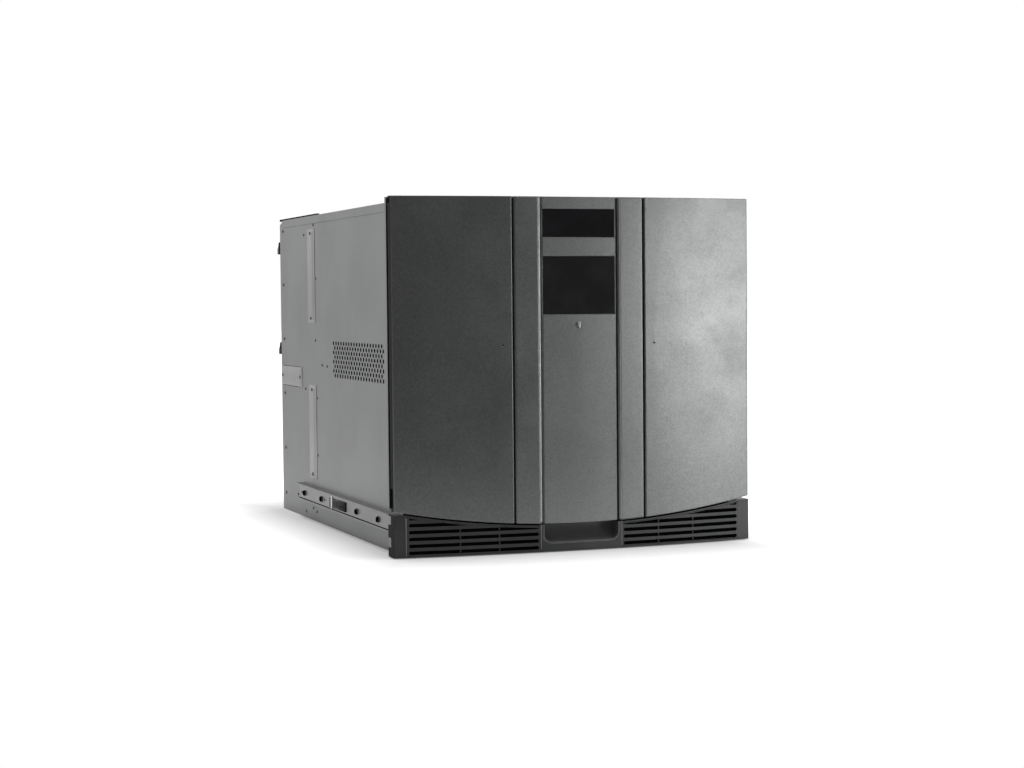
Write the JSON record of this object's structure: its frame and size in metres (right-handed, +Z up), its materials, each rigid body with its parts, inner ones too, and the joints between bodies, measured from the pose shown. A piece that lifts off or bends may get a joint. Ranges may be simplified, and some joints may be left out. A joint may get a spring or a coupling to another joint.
{
  "type": "data tape library",
  "caption": "Rack-mounted data tape library with bowed hinged doors, louvred lower bezel, lift robot, tape magazines, sliding drives and power supplies.",
  "frame": {"origin": "on the floor under the base pan, at mid width, in the plane of the rack posts that the ears rest against", "axes": "front faces -Y, up is +Z, +X towards the right-hand side seen from the front"},
  "size_m": [0.4826, 0.6884, 0.4437],
  "materials": {
    "case_steel": "satin",
    "rail_steel": "ground",
    "chrome": "polished",
    "front_paint": "fine textured metallic",
    "dark_paint": "satin",
    "bezel_plastic": "matt",
    "black_plastic": "matt",
    "magazine_plastic": "matt",
    "cartridge_plastic": "fine textured",
    "window_glass": "smoked, glossy",
    "board": "semi-gloss",
    "robot_alloy": "machined",
    "picker_plastic": "matt",
    "drive_case": "satin",
    "power_case": "satin"
  },
  "bodies": {
    "chassis": {"base_pan": "case_steel", "left_side_panel": "case_steel", "right_side_panel": "case_steel", "top_cover": "case_steel", "rear_panel": "case_steel", "front_frame": "dark_paint", "lower_bezel": "bezel_plastic", "bezel_grilles": "bezel_plastic", "scoop_cup": "bezel_plastic", "bezel_brackets": "case_steel", "centre_surround": "front_paint", "side_straps": "case_steel", "side_plates": "case_steel", "slide_rails": "rail_steel", "deck_plate": "case_steel", "magazine_shelves": "case_steel", "magazine_left_lower": "magazine_plastic", "magazine_left_upper": "magazine_plastic", "magazine_right_lower": "magazine_plastic", "magazine_right_upper": "magazine_plastic", "cartridges_left": "cartridge_plastic", "cartridges_right": "cartridge_plastic", "door_hinge_brackets": "dark_paint", "access_hinge_brackets": "dark_paint", "door_latches": "black_plastic", "lift_posts": "rail_steel", "lift_motor": "black_plastic", "drive_cage": "case_steel", "power_cage": "case_steel", "card_cage": "case_steel", "option_cards": "board", "control_board": "board", "fan_housing": "black_plastic"},
    "left_door": {"left_door": "front_paint"},
    "right_door": {"right_door": "front_paint"},
    "access_door": {"access_door": "front_paint", "display_lens": "window_glass", "display_module": "board", "viewing_window": "window_glass"},
    "lock": {"lock_barrel": "chrome", "lock_cam": "rail_steel"},
    "left_rail_latch": {"left_rail_latch": "black_plastic"},
    "right_rail_latch": {"right_rail_latch": "black_plastic"},
    "lift": {"lift_carriage": "robot_alloy", "depth_rods": "rail_steel"},
    "lead_screw": {"lead_screw": "rail_steel"},
    "shuttle": {"shuttle_base": "robot_alloy"},
    "turntable": {"turntable": "robot_alloy"},
    "picker": {"picker": "picker_plastic"},
    "tape_drive_1": {"tape_drive_1": "drive_case"},
    "tape_drive_2": {"tape_drive_2": "drive_case"},
    "tape_drive_3": {"tape_drive_3": "drive_case"},
    "tape_drive_4": {"tape_drive_4": "drive_case"},
    "power_supply_lower": {"power_supply_lower": "power_case", "power_handle_lower": "black_plastic"},
    "power_supply_upper": {"power_supply_upper": "power_case", "power_handle_upper": "black_plastic"},
    "power_switch_lower": {"power_switch_lower": "black_plastic"},
    "power_switch_upper": {"power_switch_upper": "black_plastic"},
    "fan_rotor": {"fan_rotor": "black_plastic"}
  },
  "joints": [
    {"name": "left_door_hinge", "type": "hinge", "parent": "chassis", "child": "left_door", "pos_m": [-0.2348, -0.0165, 0.25], "axis": [0, 0, -1], "range_deg": [0, 105]},
    {"name": "right_door_hinge", "type": "hinge", "parent": "chassis", "child": "right_door", "pos_m": [0.2348, -0.0165, 0.25], "axis": [0, 0, 1], "range_deg": [0, 105]},
    {"name": "access_door_hinge", "type": "hinge", "parent": "chassis", "child": "access_door", "pos_m": [-0.0461, -0.0326, 0.24], "axis": [0, 0, -1], "range_deg": [0, 95]},
    {"name": "lock_turn", "type": "hinge", "parent": "access_door", "child": "lock", "pos_m": [0, -0.03, 0.284], "axis": [0, -1, 0], "range_deg": [0, 90]},
    {"name": "left_rail_latch_pivot", "type": "hinge", "parent": "chassis", "child": "left_rail_latch", "pos_m": [-0.22675, 0.31, 0.03875], "axis": [0, 0, -1], "range_deg": [0, 3], "stiffness_Nm_per_rad": 0.6, "springref_deg": -1.15},
    {"name": "right_rail_latch_pivot", "type": "hinge", "parent": "chassis", "child": "right_rail_latch", "pos_m": [0.22675, 0.31, 0.03875], "axis": [0, 0, 1], "range_deg": [0, 3], "stiffness_Nm_per_rad": 0.6, "springref_deg": -1.15},
    {"name": "lift_travel", "type": "slide", "parent": "chassis", "child": "lift", "axis": [0, 0, 1], "range_m": [-0.11, 0.1]},
    {"name": "lead_screw_turn", "type": "hinge", "parent": "chassis", "child": "lead_screw", "pos_m": [0.084, 0.024, 0.25], "axis": [0, 0, 1], "range_deg": [-2000, 1820]},
    {"name": "shuttle_travel", "type": "slide", "parent": "lift", "child": "shuttle", "axis": [0, 1, 0], "range_m": [-0.1, 0.1]},
    {"name": "turntable_turn", "type": "hinge", "parent": "shuttle", "child": "turntable", "pos_m": [0, 0.205, 0.236], "axis": [0, 0, 1], "range_deg": [-90, 90]},
    {"name": "picker_reach", "type": "slide", "parent": "turntable", "child": "picker", "axis": [0, 1, 0], "range_m": [0, 0.04]},
    {"name": "drive_1_slide", "type": "slide", "parent": "chassis", "child": "tape_drive_1", "axis": [0, 1, 0], "range_m": [0, 0.2]},
    {"name": "drive_2_slide", "type": "slide", "parent": "chassis", "child": "tape_drive_2", "axis": [0, 1, 0], "range_m": [0, 0.2]},
    {"name": "drive_3_slide", "type": "slide", "parent": "chassis", "child": "tape_drive_3", "axis": [0, 1, 0], "range_m": [0, 0.2]},
    {"name": "drive_4_slide", "type": "slide", "parent": "chassis", "child": "tape_drive_4", "axis": [0, 1, 0], "range_m": [0, 0.2]},
    {"name": "power_supply_lower_slide", "type": "slide", "parent": "chassis", "child": "power_supply_lower", "axis": [0, 1, 0], "range_m": [0, 0.18]},
    {"name": "power_supply_upper_slide", "type": "slide", "parent": "chassis", "child": "power_supply_upper", "axis": [0, 1, 0], "range_m": [0, 0.18]},
    {"name": "power_switch_lower_rock", "type": "hinge", "parent": "power_supply_lower", "child": "power_switch_lower", "pos_m": [-0.16, 0.622, 0.132], "axis": [1, 0, 0], "range_deg": [-6, 6]},
    {"name": "power_switch_upper_rock", "type": "hinge", "parent": "power_supply_upper", "child": "power_switch_upper", "pos_m": [-0.16, 0.622, 0.285], "axis": [1, 0, 0], "range_deg": [-6, 6]},
    {"name": "fan_spin", "type": "hinge", "parent": "chassis", "child": "fan_rotor", "pos_m": [0.162, 0.611, 0.134], "axis": [0, 1, 0], "continuous": true}
  ],
  "couplings": [
    {"joint": "lead_screw_turn", "follows": "lift_travel", "rad_per_m": 314.16}
  ]
}
